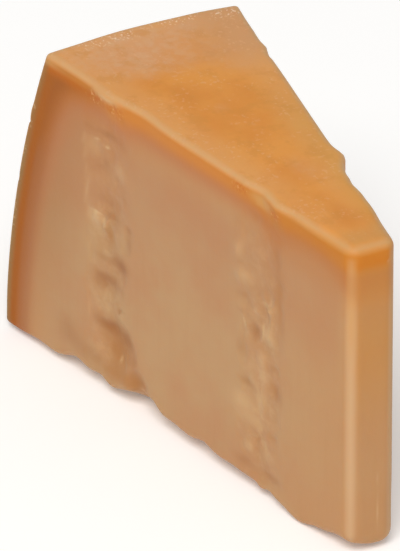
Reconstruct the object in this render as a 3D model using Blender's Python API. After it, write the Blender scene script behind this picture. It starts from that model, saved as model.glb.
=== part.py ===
"""A wedge of hard, aged cheese, cut from the upper half of a wheel.

The wedge rests on the rough split through the wheel's middle, and the wheel's flat plate is on top.
Its heel is a piece of the wheel's convex rind, and its point is cut off square.
The origin is on the ground under the middle of the wedge: +X runs from the heel to the point, the
cut face that shows looks along -Y, and +Z is up. Lengths are in millimetres until they reach the mesh.
"""

import math
import random

import bmesh
import bpy
from mathutils import Vector, noise

# Driving sizes of the wheel and of the cut
PLATE_RADIUS = 200.0
TIP_RADIUS = 46.6
HALF_ANGLE = math.radians(9.64)
HEIGHT = 108.2
HEEL_BULGE = 22.6
HEEL_CURVE = 1.78

# Roundings of the edges
PLATE_EDGE = 2.3
TIP_EDGE = 3.9
TIP_FOOT_EDGE = 4.3
HEEL_EDGE = 1.4
LOW_HEEL_EDGE = 2.0
LOW_HEEL_REACH = (55.0, 80.0)
FOOT_EDGE = 2.6
TIP_REACH = 16.0
FILLET_STEPS = 3

# Rough stripes of both cut faces, as distances from the wheel's axis
ROUGH_BANDS = ((78.0, 102.0), (156.0, 180.0))
BAND_DEPTH = 0.9
LUMP_DEPTH = {-1: 0.3, 1: 0.7}
LUMP_SIZE = 11.0
LUMP_STRETCH = 1.25
BORDER_WOBBLE = 3.0
BORDER_WOBBLE_SIZE = 16.0
SIDE_SEED = 50.0
STEP_SHARE = 0.35
STEP_WIDTH = 0.07
SOFT_SIDE = 0.55
CALM_REACH = 15.0
CALM_SHARE = 0.75

# Noise that shapes the lumps: each octave is finer and weaker than the one before
ROUGHNESS_DECAY = 0.9
OCTAVE_STEP = 2.1

# Shell-shaped scoops of the front face, and lumps where the depth is negative:
# distance from the axis, height, half length, half height, direction of the steep wall in degrees
# from the side of the point upwards, depth
FRONT_SCOOPS = (
    (170.0, 88.0, 9.0, 7.0, 95, 0.35),
    (170.0, 79.5, 7.0, 5.5, 100, 0.3),
    (167.0, 69.5, 7.5, 7.5, 75, 0.5),
    (157.8, 62.5, 3.5, 4.5, 45, 0.4),
    (173.6, 61.8, 3.2, 3.2, 60, -0.8),
    (163.0, 47.5, 6.0, 5.4, 60, 1.3),
    (168.5, 38.5, 8.5, 6.0, 90, 1.2),
    (165.5, 18.5, 10.3, 11.0, 55, 2.5),
    (154.0, 8.5, 7.0, 8.0, 45, 2.4),
    (162.0, 82.5, 5.5, 4.5, -110, -0.4),
    (97.5, 93.0, 8.0, 8.0, 90, 0.4),
    (94.5, 86.5, 5.5, 4.5, -100, -0.3),
    (102.3, 83.8, 3.4, 4.4, -130, -0.5),
    (84.0, 79.0, 4.0, 5.0, 45, 0.25),
    (99.8, 75.3, 5.6, 4.4, -100, -0.7),
    (100.5, 67.5, 5.5, 4.5, 90, 0.6),
    (89.5, 59.8, 4.0, 3.8, -150, -1.1),
    (94.6, 58.0, 3.6, 4.4, 20, 1.0),
    (91.0, 50.0, 3.5, 4.5, -120, -0.4),
    (98.0, 38.5, 4.8, 3.6, 70, 0.8),
    (83.4, 41.5, 4.2, 4.8, 45, 0.7),
    (97.0, 16.6, 4.0, 3.6, -70, -0.4),
    (86.6, 17.0, 5.2, 4.0, -90, -0.4),
    (92.0, 7.5, 13.0, 5.0, 85, 0.9),
)
GENTLE_POWER = 1.6
STEEPER_BY = 0.4

# Those of the back face are drawn with a seed, each value between a lowest and a highest one:
# half length as a share of the largest, distance from a stripe's two borders, place in its row,
# half height as a share of the half length, and direction of the steep wall
BACK_SEED = 11
BACK_SCOOPS_PER_BAND = 24
BACK_SCOOP_SIZE = 7.5
BACK_SCOOP_DEPTH = 1.5
LENGTH_SHARES = (0.4, 1.0)
BORDER_DISTANCES = (2.0, 5.0)
ROW_SHARES = (0.2, 0.8)
HEIGHT_SHARES = (0.8, 1.3)
WALL_DIRECTIONS = (0.0, 110.0)

# Where the stripes meet the plate, its edges have crumbled or stand proud:
# distance from the axis, height, half length, half height, depth into the cheese
EDGE_HOLLOWS = {
    -1: (
        (167.0, 108.0, 7.0, 8.0, -0.9),
        (151.0, 108.0, 8.0, 8.0, 0.9),
        (93.0, 106.0, 4.0, 6.0, 0.7),
        (82.0, 108.0, 5.0, 7.0, -1.1),
    ),
    1: (
        (171.0, 108.0, 4.5, 8.0, -0.9),
        (100.5, 107.0, 5.5, 11.0, -1.9),
        (84.5, 108.0, 6.0, 8.0, 1.2),
        (74.0, 108.0, 5.0, 8.0, 0.4),
    ),
}

# Rise of the underside's edge along each cut face: distance from the axis, half length, rise
FOOT_RISE = 3.8
HEEL_FOOT_RISE = 1.8
HEEL_FOOT_START = 182.0
HEEL_FOOT_END = 198.0
FOOT_REACH = 13.0
FRONT_FOOT_CHIPS = (
    (205.0, 7.0, 0.9),
    (187.0, 6.0, 1.9),
    (174.0, 3.5, 0.9),
    (168.5, 3.0, -1.0),
    (161.5, 3.0, 0.3),
    (153.6, 7.0, 3.5),
    (146.3, 3.6, 3.0),
    (137.0, 7.0, 1.3),
    (121.0, 5.0, 1.9),
    (106.5, 6.0, 0.5),
    (92.5, 2.2, -1.1),
    (85.0, 5.0, -0.9),
    (73.5, 8.0, -3.7),
    (62.0, 4.5, -1.4),
)
BACK_FOOT_CHIPS = (
    (190.0, 9.0, 1.8),
    (165.0, 8.0, 3.0),
    (131.0, 12.0, -2.4),
    (92.0, 9.0, 2.8),
    (52.0, 14.0, -2.2),
)
SPLIT_ROUGHNESS = 2.2
SPLIT_GRAIN = 17.0

# Slow waves of the rind on the plate and on the heel; the heel's fade out towards the point
PLATE_WAVE = 0.35
RIND_WAVE = 0.6
RIND_WAVE_SIZE = 45.0
RIND_WAVE_FADE = 6

# Spacing of the faces that carry the relief
BAND_MARGIN = 4.0
BAND_SPACING = 2.4
PLAIN_SPACING = 5.6
HEIGHT_SPACING = 3.0
ACROSS_CUTS = 9
FILLET = 0.1

# Finish
CHEESE_COLOUR = (0.52, 0.29, 0.13, 1.0)
CHEESE_ROUGHNESS = 0.42
MM = 0.001

# Worked out from the driving sizes
LENGTH = PLATE_RADIUS + HEEL_BULGE - TIP_RADIUS
AXIS_X = TIP_RADIUS + LENGTH / 2


def smooth(value, low, high):
    """0 below low, 1 above high, and an even S between them."""
    share = min(max((value - low) / (high - low), 0.0), 1.0)
    return share * share * (3 - 2 * share)


def waves(x, y, z, size, octaves=3):
    """Seeded noise between about -1 and 1, with lumps of the given size."""
    return noise.fractal(Vector((x, y, z)) / size, ROUGHNESS_DECAY, OCTAVE_STEP, octaves)


def bell(offset, half_width):
    return math.exp(-((offset / half_width) ** 2))


def heel_radius(height):
    """The wheel's radius: least at the plate, and greatest at mid height, where the wheel is split."""
    drop = min(max((HEIGHT - height) / HEIGHT, 0.0), 1.0)
    return PLATE_RADIUS + HEEL_BULGE * (1 - (1 - drop) ** HEEL_CURVE)


def edge_rounding(from_tip, height):
    """The edges are round at the point, handled at the plate, and crisp at the heel."""
    tip = 1 - smooth(from_tip, TIP_REACH / 2, TIP_REACH * 1.5)
    heel = smooth(from_tip, LENGTH - 2 * TIP_REACH, LENGTH - TIP_REACH)
    foot = 1 - smooth(height, TIP_REACH / 2, TIP_REACH * 1.5)
    rounding = PLATE_EDGE + (FOOT_EDGE - PLATE_EDGE) * foot
    rounding += (TIP_EDGE + (TIP_FOOT_EDGE - TIP_EDGE) * foot - rounding) * tip
    heel_edge = HEEL_EDGE + (LOW_HEEL_EDGE - HEEL_EDGE) * (1 - smooth(height, *LOW_HEEL_REACH))
    return rounding + (heel_edge - rounding) * heel


def draw_scoops():
    """The scoops of the back: spread evenly up both stripes, with seeded sizes and directions."""
    draw = random.Random(BACK_SEED)
    scoops = []
    for inner, outer in ROUGH_BANDS:
        for index in range(BACK_SCOOPS_PER_BAND):
            half_length = draw.uniform(*LENGTH_SHARES) * BACK_SCOOP_SIZE
            scoop_radius = draw.uniform(inner + BORDER_DISTANCES[0], outer - BORDER_DISTANCES[1])
            scoop_height = (index + draw.uniform(*ROW_SHARES)) / BACK_SCOOPS_PER_BAND * HEIGHT
            half_height = half_length * draw.uniform(*HEIGHT_SHARES)
            wall = draw.uniform(*WALL_DIRECTIONS)
            depth = BACK_SCOOP_DEPTH * half_length / BACK_SCOOP_SIZE
            scoops.append((scoop_radius, scoop_height, half_length, half_height, wall, depth))
    return tuple(scoops)


SCOOPS = {-1: FRONT_SCOOPS, 1: draw_scoops()}


def band_share(radius, height, side):
    """How far a spot belongs to the rough stripes: 0 on the knife's cut, 1 inside a stripe."""
    rough = 0.0
    for inner, outer in ROUGH_BANDS:
        border = BORDER_WOBBLE * waves(inner, side * SIDE_SEED, height, BORDER_WOBBLE_SIZE, 2)
        share = (radius + border - inner) / (outer - inner)
        step = STEP_SHARE * smooth(1 - share, 0.0, STEP_WIDTH)
        slope = (1 - STEP_SHARE) * smooth(1 - share, 0.0, SOFT_SIDE)
        rough += (step + slope) * smooth(share, 0.0, SOFT_SIDE)
    calm = smooth(height, HEIGHT - CALM_REACH, HEIGHT) + 1 - smooth(height, 0.0, CALM_REACH)
    return rough * (1 - CALM_SHARE * calm)


def scoop_depth(radius, height, scoop):
    """The depth of one shell-shaped scoop, steepest on the side of its wall."""
    scoop_radius, scoop_height, half_length, half_height, wall, depth = scoop
    across = (scoop_radius - radius) / half_length
    up = (height - scoop_height) / half_height
    span = across * across + up * up
    if span >= 1.0:
        return 0.0
    lean = across * math.cos(math.radians(wall)) + up * math.sin(math.radians(wall))
    return depth * (1 - span) ** (GENTLE_POWER - STEEPER_BY * lean)


def crag_depth(radius, height, side):
    """How far a cut face lies behind the knife's plane, with side -1 in front and 1 at the back."""
    lumps = waves(radius, side * SIDE_SEED, height / LUMP_STRETCH, LUMP_SIZE)
    depth = band_share(radius, height, side) * (BAND_DEPTH + LUMP_DEPTH[side] * lumps)
    for scoop in SCOOPS[side]:
        depth += scoop_depth(radius, height, scoop)
    for edge_radius, edge_height, half_length, half_height, edge_depth in EDGE_HOLLOWS[side]:
        across = bell(radius - edge_radius, half_length)
        depth += edge_depth * across * bell(height - edge_height, half_height)
    return depth


def foot_rise(radius, side):
    """The height of the underside's edge along one cut face."""
    chips = FRONT_FOOT_CHIPS if side < 0 else BACK_FOOT_CHIPS
    rise = FOOT_RISE + (HEEL_FOOT_RISE - FOOT_RISE) * smooth(radius, HEEL_FOOT_START, HEEL_FOOT_END)
    for chip_radius, half_length, chip_rise in chips:
        rise += chip_rise * bell(radius - chip_radius, half_length)
    return rise


def underside(x, y, radius, half_width):
    """The height of the rough split: chipped along its edges, and on the ground in the middle."""
    front = 1 - smooth(half_width + y, 0.0, FOOT_REACH)
    back = 1 - smooth(half_width - y, 0.0, FOOT_REACH)
    heel = 1 - smooth(heel_radius(0.0) - radius, 0.0, FOOT_REACH)
    rise = front * foot_rise(radius, -1) + back * foot_rise(radius, 1)
    rise /= max(front + back, 1.0)
    slope = front * (1 - front) + back * (1 - back) + heel * (1 - heel)
    grain = SPLIT_ROUGHNESS * slope * waves(x, y, 0.0, SPLIT_GRAIN)
    return max(rise, heel * HEEL_FOOT_RISE, 0.0) + max(grain, 0.0)


def split_coordinate(place, low, high, rounding):
    """A block coordinate as its spot on the inner block and its lean out over the rounded edge."""
    core = min(max(place, 0.0), 1.0)
    lean = math.tan(math.pi / 4 * (place - core) / FILLET)
    return low + rounding + (high - low - 2 * rounding) * core, lean


def place_on_wedge(place):
    """Moves one point of the block's surface to its spot on the wedge."""
    height_guess = HEIGHT * min(max(place.z, 0.0), 1.0)
    length = heel_radius(height_guess) - TIP_RADIUS
    rounding = edge_rounding(length * min(max(place.x, 0.0), 1.0), height_guess)

    inner_z, lean_z = split_coordinate(place.z, 0.0, HEIGHT, rounding)
    lean_x = split_coordinate(place.x, 0.0, length, rounding)[1]
    lean_y = split_coordinate(place.y, 0.0, length, rounding)[1]
    lean = Vector((lean_x, lean_y, lean_z)).normalized() * rounding

    height = inner_z + lean.z
    heel = heel_radius(height)
    from_tip = split_coordinate(place.x, 0.0, heel - TIP_RADIUS, rounding)[0] + lean.x
    chord = TIP_RADIUS + from_tip
    half_width = chord * math.tan(HALF_ANGLE)
    across = split_coordinate(place.y, -half_width, half_width, rounding)[0] + lean.y

    tangent = across / chord
    heel_share = from_tip / (heel - TIP_RADIUS)
    chord += heel_share * heel * (math.cos(math.atan(tangent)) - 1)
    y = chord * tangent
    radius = math.hypot(chord, y)
    half_width = chord * math.tan(HALF_ANGLE)

    foot_share = 1 - height / HEIGHT
    rise = underside(chord, y, radius, half_width) * foot_share
    swell = waves(chord, y, height, RIND_WAVE_SIZE, 2)
    lifted = height + rise + PLATE_WAVE * min(swell, 0.0) * (1 - foot_share)
    front_share = (1 - y / half_width) / 2
    y += crag_depth(radius, lifted, -1) * front_share
    y -= crag_depth(radius, lifted, 1) * (1 - front_share)
    chord += RIND_WAVE * min(swell, 0.0) * heel_share**RIND_WAVE_FADE
    return Vector((AXIS_X - chord, y, lifted)) * MM


def walk(low, high, spacing):
    """Stations from low to high, evenly spaced by about the given spacing."""
    steps = max(round((high - low) / spacing), 1)
    return [low + (high - low) * step / steps for step in range(steps)]


def length_stations():
    """Cuts along the wedge as shares of its length: close together where the faces are rough."""
    borders = [TIP_RADIUS]
    for inner, outer in ROUGH_BANDS:
        borders += [inner - BAND_MARGIN, outer + BAND_MARGIN]
    borders.append(PLATE_RADIUS + HEEL_BULGE)
    stations = []
    for index, (low, high) in enumerate(zip(borders, borders[1:])):
        rough = index % 2 == 1
        stations += walk(low, high, BAND_SPACING if rough else PLAIN_SPACING)
    return [(station - TIP_RADIUS) / LENGTH for station in stations] + [1.0]


def with_fillets(stations):
    """Adds the cuts that round off both ends of an axis."""
    steps = [FILLET * step / FILLET_STEPS for step in range(1, FILLET_STEPS)]
    return stations + [-step for step in steps] + [1 + step for step in steps]


def make_block():
    """A block with a cut at every station. It runs from -FILLET to 1 + FILLET on each axis."""
    mesh = bmesh.new()
    bmesh.ops.create_cube(mesh, size=1 + 2 * FILLET)
    bmesh.ops.translate(mesh, verts=mesh.verts, vec=Vector((0.5, 0.5, 0.5)))
    height_cuts = walk(0.0, 1.0, HEIGHT_SPACING / HEIGHT) + [1.0]
    across_cuts = walk(0.0, 1.0, 1 / ACROSS_CUTS) + [1.0]
    for axis, stations in enumerate((length_stations(), across_cuts, height_cuts)):
        for station in with_fillets(stations):
            point = Vector((0, 0, 0))
            point[axis] = station
            normal = Vector((0, 0, 0))
            normal[axis] = 1
            everything = mesh.verts[:] + mesh.edges[:] + mesh.faces[:]
            bmesh.ops.bisect_plane(mesh, geom=everything, plane_co=point, plane_no=normal)
    return mesh


def cheese_material():
    material = bpy.data.materials.new("cheese")
    material.use_nodes = True
    shader = material.node_tree.nodes["Principled BSDF"]
    shader.inputs["Base Color"].default_value = CHEESE_COLOUR
    shader.inputs["Roughness"].default_value = CHEESE_ROUGHNESS
    shader.inputs["Metallic"].default_value = 0.0
    return material


def make_wedge():
    """The whole piece of cheese as one closed solid."""
    block = make_block()
    for vertex in block.verts:
        vertex.co = place_on_wedge(vertex.co)
    bmesh.ops.reverse_faces(block, faces=block.faces)
    bmesh.ops.triangulate(block, faces=block.faces)
    mesh = bpy.data.meshes.new("cheese_wedge")
    block.to_mesh(mesh)
    block.free()
    for polygon in mesh.polygons:
        polygon.use_smooth = True
    wedge = bpy.data.objects.new("cheese_wedge", mesh)
    wedge.data.materials.append(cheese_material())
    bpy.context.scene.collection.objects.link(wedge)
    return wedge


for leftover in list(bpy.data.objects):
    bpy.data.objects.remove(leftover)
make_wedge()
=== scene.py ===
# %% [markdown]
# # A wedge of hard, aged cheese
#
# This lesson models one wedge cut from a big wheel of hard cheese. The wheel is split at mid height
# first, so the wedge has rind on its flat top and on its round heel, and none underneath. A knife is
# pushed in and twisted, which leaves smooth cuts with two rough stripes of torn paste between them.
# The solid that carries the sizes is loaded first. Everything after it is about looks.

# %% Load the solid
import math
import random

import bmesh
import bpy
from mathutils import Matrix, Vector, noise


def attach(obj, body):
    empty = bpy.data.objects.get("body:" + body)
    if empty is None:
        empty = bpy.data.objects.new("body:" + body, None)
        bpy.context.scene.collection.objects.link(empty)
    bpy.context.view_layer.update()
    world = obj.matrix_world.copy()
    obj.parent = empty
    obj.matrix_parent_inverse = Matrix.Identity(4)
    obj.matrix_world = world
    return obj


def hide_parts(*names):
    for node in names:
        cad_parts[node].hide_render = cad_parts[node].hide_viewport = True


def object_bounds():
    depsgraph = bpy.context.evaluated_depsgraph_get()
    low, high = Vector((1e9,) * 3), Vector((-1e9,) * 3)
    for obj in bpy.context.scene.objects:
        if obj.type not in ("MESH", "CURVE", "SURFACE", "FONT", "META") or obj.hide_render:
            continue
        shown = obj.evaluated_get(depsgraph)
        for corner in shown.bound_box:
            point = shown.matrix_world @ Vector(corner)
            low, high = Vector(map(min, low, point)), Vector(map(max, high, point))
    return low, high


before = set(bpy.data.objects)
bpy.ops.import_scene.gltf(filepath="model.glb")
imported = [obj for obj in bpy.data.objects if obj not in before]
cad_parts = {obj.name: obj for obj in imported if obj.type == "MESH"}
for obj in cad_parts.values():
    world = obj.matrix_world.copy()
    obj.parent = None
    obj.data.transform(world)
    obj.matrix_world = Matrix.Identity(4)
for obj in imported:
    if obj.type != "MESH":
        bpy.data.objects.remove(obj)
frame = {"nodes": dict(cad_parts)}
solid_box = [list(corner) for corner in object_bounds()]
print("solid:", ", ".join(frame["nodes"]), "from", solid_box[0], "to", solid_box[1])

# %% [markdown]
# ## The sizes of the wheel
#
# A wedge of a wheel is simple to describe in round coordinates: how far a point is from the wheel's
# axis, how far round it is, and how high. So the sizes are those of the wheel, in millimetres: the
# radius of its flat side, how far the rind bulges out at mid height, the angle of the cut and the
# distance from the axis at which the point was cut off. The heights come from the solid.

# %% Sizes of the wheel and of the cut
MM = 0.001
PLATE_RADIUS = 200.0
TIP_RADIUS = 46.6
HALF_ANGLE = math.radians(9.64)
HEEL_BULGE = 22.6
HEEL_CURVE = 1.78
HEIGHT = (solid_box[1][2] - solid_box[0][2]) / MM
LENGTH = PLATE_RADIUS + HEEL_BULGE - TIP_RADIUS
AXIS_X = TIP_RADIUS + LENGTH / 2


def heel_radius(height):
    """The wheel's radius: least at the plate, and greatest at mid height, where the wheel is split."""
    drop = min(max((HEIGHT - height) / HEIGHT, 0.0), 1.0)
    return PLATE_RADIUS + HEEL_BULGE * (1 - (1 - drop) ** HEEL_CURVE)


print(f"the wedge is {LENGTH:.1f} mm long and {HEIGHT:.1f} mm high")

# %% [markdown]
# ## Noise and soft steps
#
# Torn cheese is lumpy at every scale: soft lumps a centimetre wide, with smaller ones on them. A
# fractal noise gives just that. It is worked out from the place alone, so it is the same each run.

# %% Helpers for relief
ROUGHNESS_DECAY = 0.9
OCTAVE_STEP = 2.1


def smooth(value, low, high):
    """0 below low, 1 above high, and an even S between them."""
    share = min(max((value - low) / (high - low), 0.0), 1.0)
    return share * share * (3 - 2 * share)


def waves(x, y, z, size, octaves=3):
    """Noise between about -1 and 1, with lumps of the given size."""
    return noise.fractal(Vector((x, y, z)) / size, ROUGHNESS_DECAY, OCTAVE_STEP, octaves)


def bell(offset, half_width):
    """1 at no offset, and softly less on both sides."""
    return math.exp(-((offset / half_width) ** 2))


print("noise at the middle of the wedge:", round(waves(0.0, 0.0, HEIGHT / 2, 10.0), 3))

# %% [markdown]
# ## Roundings of the edges
#
# The point of the wedge has been handled most, so its upright edges are the roundest. The plate's
# edges are softer than the heel's, where the hard rind keeps a crisp corner. One function gives the
# rounding anywhere, so an edge can change along its length, which a bevel can't do by itself.

# %% Roundings
PLATE_EDGE = 2.3
TIP_EDGE = 3.9
TIP_FOOT_EDGE = 4.3
HEEL_EDGE = 1.4
LOW_HEEL_EDGE = 2.0
LOW_HEEL_HEIGHTS = (55.0, 80.0)
FOOT_EDGE = 2.6

# Where one rounding gives way to the next, in mm from the end face, the ground or the heel
EDGE_CHANGE = (8.0, 24.0)
HEEL_EDGE_CHANGE = (32.0, 16.0)


def edge_rounding(from_tip, height):
    """The edges are round at the point, handled at the plate, and crisp at the heel."""
    tip = 1 - smooth(from_tip, *EDGE_CHANGE)
    heel = smooth(from_tip, LENGTH - HEEL_EDGE_CHANGE[0], LENGTH - HEEL_EDGE_CHANGE[1])
    foot = 1 - smooth(height, *EDGE_CHANGE)
    rounding = PLATE_EDGE + (FOOT_EDGE - PLATE_EDGE) * foot
    rounding += (TIP_EDGE + (TIP_FOOT_EDGE - TIP_EDGE) * foot - rounding) * tip
    heel_edge = HEEL_EDGE + (LOW_HEEL_EDGE - HEEL_EDGE) * (1 - smooth(height, *LOW_HEEL_HEIGHTS))
    return rounding + (heel_edge - rounding) * heel


print("rounding at the point:", round(edge_rounding(0.0, HEIGHT / 2), 1), "mm")

# %% [markdown]
# ## The rough stripes
#
# Where the knife was twisted, the paste tore instead of being cut. Each cut face has two upright
# stripes of such crags. A stripe begins with a low step on the side of the heel, lies a millimetre
# or so behind the cut, and rises softly to it again on the side of the point.

# %% Base of the rough stripes
# Distances from the wheel's axis between which each stripe lies
ROUGH_BANDS = ((78.0, 102.0), (156.0, 180.0))
BAND_DEPTH = 0.9

# Side -1 is the cut face in front, and side 1 the one at the back
LUMP_DEPTH = {-1: 0.3, 1: 0.7}
LUMP_SIZE = 11.0
LUMP_STRETCH = 1.25
SIDE_SEED = 50.0

# How far a stripe's borders wander and fray, and over what distances
BORDER_WOBBLE = 3.0
BORDER_WOBBLE_SIZE = 16.0
BORDER_FRAY = 1.2
BORDER_FRAY_SIZE = 5.0

# The step's share of the depth, and the widths of step and slopes as shares of the stripe
STEP_SHARE = 0.35
STEP_WIDTH = 0.07
SOFT_SIDE = 0.55

# Close to the plate and to the ground there is less tearing
CALM_REACH = 15.0
CALM_SHARE = 0.75


def band_share(radius, height, side):
    """How far a spot belongs to the rough stripes: 0 on the knife's cut, 1 inside a stripe."""
    rough = 0.0
    for inner, outer in ROUGH_BANDS:
        border = BORDER_WOBBLE * waves(inner, side * SIDE_SEED, height, BORDER_WOBBLE_SIZE, octaves=2)
        border += BORDER_FRAY * waves(radius, side * SIDE_SEED, height, BORDER_FRAY_SIZE, octaves=1)
        share = (radius + border - inner) / (outer - inner)
        step = STEP_SHARE * smooth(1 - share, 0.0, STEP_WIDTH)
        slope = (1 - STEP_SHARE) * smooth(1 - share, 0.0, SOFT_SIDE)
        rough += (step + slope) * smooth(share, 0.0, SOFT_SIDE)
    calm = smooth(height, HEIGHT - CALM_REACH, HEIGHT) + 1 - smooth(height, 0.0, CALM_REACH)
    return rough * (1 - CALM_SHARE * calm)


print("share of tearing in the middle of a stripe:", round(band_share(90.0, 50.0, -1), 2))

# %% [markdown]
# ## Scoops, lumps and flakes
#
# Hard cheese breaks like flint: each break leaves a shell-shaped scoop with a sloping wall on one
# side and a long gentle floor on the other. One function makes that shape from a centre, two half
# sizes and the direction of its wall, in degrees from the side of the point, upwards. With a
# negative depth it is a lump that stands proud, and its wall is the edge that is in shade. The ones
# that the eye knows the piece by are placed one by one. The back, which nobody has seen, gets the
# same kind of scoops from a seeded draw.

# %% Scoops placed one by one on the front
# Distance from the axis, height, half length, half height, direction of the wall, depth
FRONT_SCOOPS = (
    (170.0, 88.0, 9.0, 7.0, 95, 0.2),
    (170.0, 79.5, 7.0, 5.5, 100, 0.3),
    (168.5, 67.8, 8.0, 6.5, 75, 0.5),
    (157.8, 62.5, 3.5, 4.5, 45, 0.4),
    (167.0, 57.5, 2.4, 4.6, 180, 0.2),
    (164.5, 46.0, 6.0, 5.2, 60, 0.8),
    (169.5, 39.0, 8.5, 6.0, 90, 0.8),
    (165.0, 18.5, 12.0, 11.5, 60, 2.0),
    (167.0, 17.5, 3.5, 4.5, 60, 0.3),
    (154.0, 8.5, 7.0, 8.0, 45, 2.1),
    (97.5, 93.0, 8.0, 8.0, 90, 0.4),
    (83.8, 88.0, 2.6, 5.5, 20, 0.25),
    (84.0, 79.0, 4.0, 5.0, 45, 0.25),
    (82.0, 70.0, 2.5, 7.0, 20, 0.25),
    (100.5, 67.5, 5.5, 4.5, 90, 0.6),
    (95.2, 57.6, 3.4, 4.2, 20, 0.9),
    (100.6, 48.0, 3.2, 4.2, 60, 0.5),
    (84.6, 48.6, 3.2, 2.4, 90, 0.6),
    (98.8, 37.5, 5.2, 3.6, 70, 0.65),
    (84.4, 41.0, 4.2, 4.8, 45, 0.6),
    (84.4, 31.5, 3.2, 4.5, 30, 0.4),
    (85.6, 24.0, 3.6, 3.0, 70, 0.6),
    (94.0, 20.5, 4.0, 2.0, 80, 0.4),
    (92.0, 7.5, 13.0, 5.0, 85, 0.9),
)
print(len(FRONT_SCOOPS), "scoops on the front, the deepest", max(row[5] for row in FRONT_SCOOPS), "mm")

# %% Lumps, grooves and ridges placed one by one
FRONT_LUMPS = (
    (162.0, 82.5, 5.5, 4.5, -110, -0.4),
    (173.6, 61.8, 3.2, 3.2, 60, -0.8),
    (164.0, 34.8, 4.5, 2.6, -60, -0.3),
    (102.3, 83.8, 3.4, 4.4, -130, -0.5),
    (94.5, 86.5, 5.5, 4.5, -100, -0.3),
    (99.8, 75.3, 5.6, 4.4, -100, -0.7),
    (93.2, 65.6, 3.0, 1.9, -80, -0.5),
    (87.4, 59.6, 4.6, 4.1, -160, -1.0),
    (91.0, 50.0, 3.5, 4.5, -120, -0.4),
    (97.0, 16.6, 4.0, 3.6, -70, -0.4),
    (86.6, 17.0, 5.2, 4.0, -90, -0.4),
)

# Grooves and ridges: start and end as distance and height, half width, depth
FRONT_GROOVES = (
    (170.6, 59.0, 167.8, 64.2, 0.9, -0.9),
    (176.5, 64.6, 172.0, 65.0, 0.8, -0.5),
    (162.6, 33.3, 162.8, 33.6, 0.8, 0.55),
    (162.2, 17.6, 160.0, 14.6, 0.8, -0.5),
    (104.5, 25.5, 90.5, 20.5, 1.6, 0.25),
    (93.9, 19.5, 93.9, 13.5, 1.2, 0.35),
    (90.2, 71.8, 87.2, 69.0, 1.1, -0.5),
    (84.2, 72.6, 86.6, 68.5, 0.9, -0.5),
    (86.6, 68.5, 86.3, 62.5, 1.1, -0.7),
    (99.8, 61.6, 97.8, 58.4, 0.7, -0.5),
    (90.8, 51.0, 90.8, 31.0, 2.0, -0.4),
)
print(len(FRONT_LUMPS), "lumps and", len(FRONT_GROOVES), "grooves and ridges")

# %% Crags drawn at random
SPREAD_SEED = 11
BACK_SCOOPS_PER_BAND = 24
FILLER_SCOOPS_PER_BAND = 12
BACK_SCOOP_SIZE = 7.5
BACK_SCOOP_DEPTH = 1.1
FILLER_SIZE = 3.4
FILLER_DEPTH = 0.3
# Shares of the largest size, gaps to a stripe's borders in mm, places in a row, stretch, degrees
LENGTH_SHARES = (0.4, 1.0)
BORDER_DISTANCES = (2.0, 5.0)
ROW_SHARES = (0.2, 0.8)
HEIGHT_SHARES = (0.8, 1.3)
WALL_DIRECTIONS = (0.0, 110.0)


def draw_scoops(draw, count, largest, deepest):
    """Scoops spread evenly up both stripes, with seeded sizes, places and directions."""
    scoops = []
    for inner, outer in ROUGH_BANDS:
        for index in range(count):
            half_length = draw.uniform(*LENGTH_SHARES) * largest
            scoop_radius = draw.uniform(inner + BORDER_DISTANCES[0], outer - BORDER_DISTANCES[1])
            scoop_height = (index + draw.uniform(*ROW_SHARES)) / count * HEIGHT
            half_height = half_length * draw.uniform(*HEIGHT_SHARES)
            wall = draw.uniform(*WALL_DIRECTIONS)
            depth = deepest * half_length / largest
            scoops.append((scoop_radius, scoop_height, half_length, half_height, wall, depth))
    return tuple(scoops)


draw = random.Random(SPREAD_SEED)
back_scoops = draw_scoops(draw, BACK_SCOOPS_PER_BAND, BACK_SCOOP_SIZE, BACK_SCOOP_DEPTH)
fillers = draw_scoops(draw, FILLER_SCOOPS_PER_BAND, FILLER_SIZE, FILLER_DEPTH)
CRAGS = {1: back_scoops, -1: FRONT_SCOOPS + FRONT_LUMPS + fillers}
GROOVES = {1: (), -1: FRONT_GROOVES}
print(len(back_scoops), "scoops at the back,", len(fillers), "small ones in front")

# %% [markdown]
# ## Chips of the plate's edges
#
# Where a rough stripe meets the plate, the edge has crumbled or stands proud. These few spots shape
# the outline of the plate, so they get their own soft hollows and lumps, and the front's broken
# corners carry crumbs a millimetre or two across.

# %% Plate edges and crumbs
# Distance from the axis, height, half length, half height, depth
EDGE_HOLLOWS = {
    -1: (
        (167.0, 108.0, 7.0, 8.0, -0.9),
        (151.0, 108.0, 8.0, 8.0, 0.9),
        (93.0, 106.0, 4.0, 6.0, 0.7),
        (82.0, 108.0, 5.0, 7.0, -1.1),
    ),
    1: (
        (171.0, 108.0, 4.5, 8.0, -0.9),
        (100.5, 107.0, 5.5, 11.0, -1.9),
        (84.5, 108.0, 6.0, 8.0, 1.2),
        (74.0, 108.0, 5.0, 8.0, 0.4),
    ),
}

# Patches of crumbs on the front: distance, height, half length, half height, number of crumbs
CRUMB_PATCHES = (
    (174.0, 103.8, 5.5, 2.6, 32),
    (163.5, 103.4, 3.8, 2.4, 18),
    (102.0, 105.4, 4.5, 2.6, 26),
    (84.5, 103.4, 3.5, 2.0, 12),
)
CRUMB_SEED = 4
CRUMB_SIZE = (0.7, 1.2)
CRUMB_PROUD = 0.08

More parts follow.
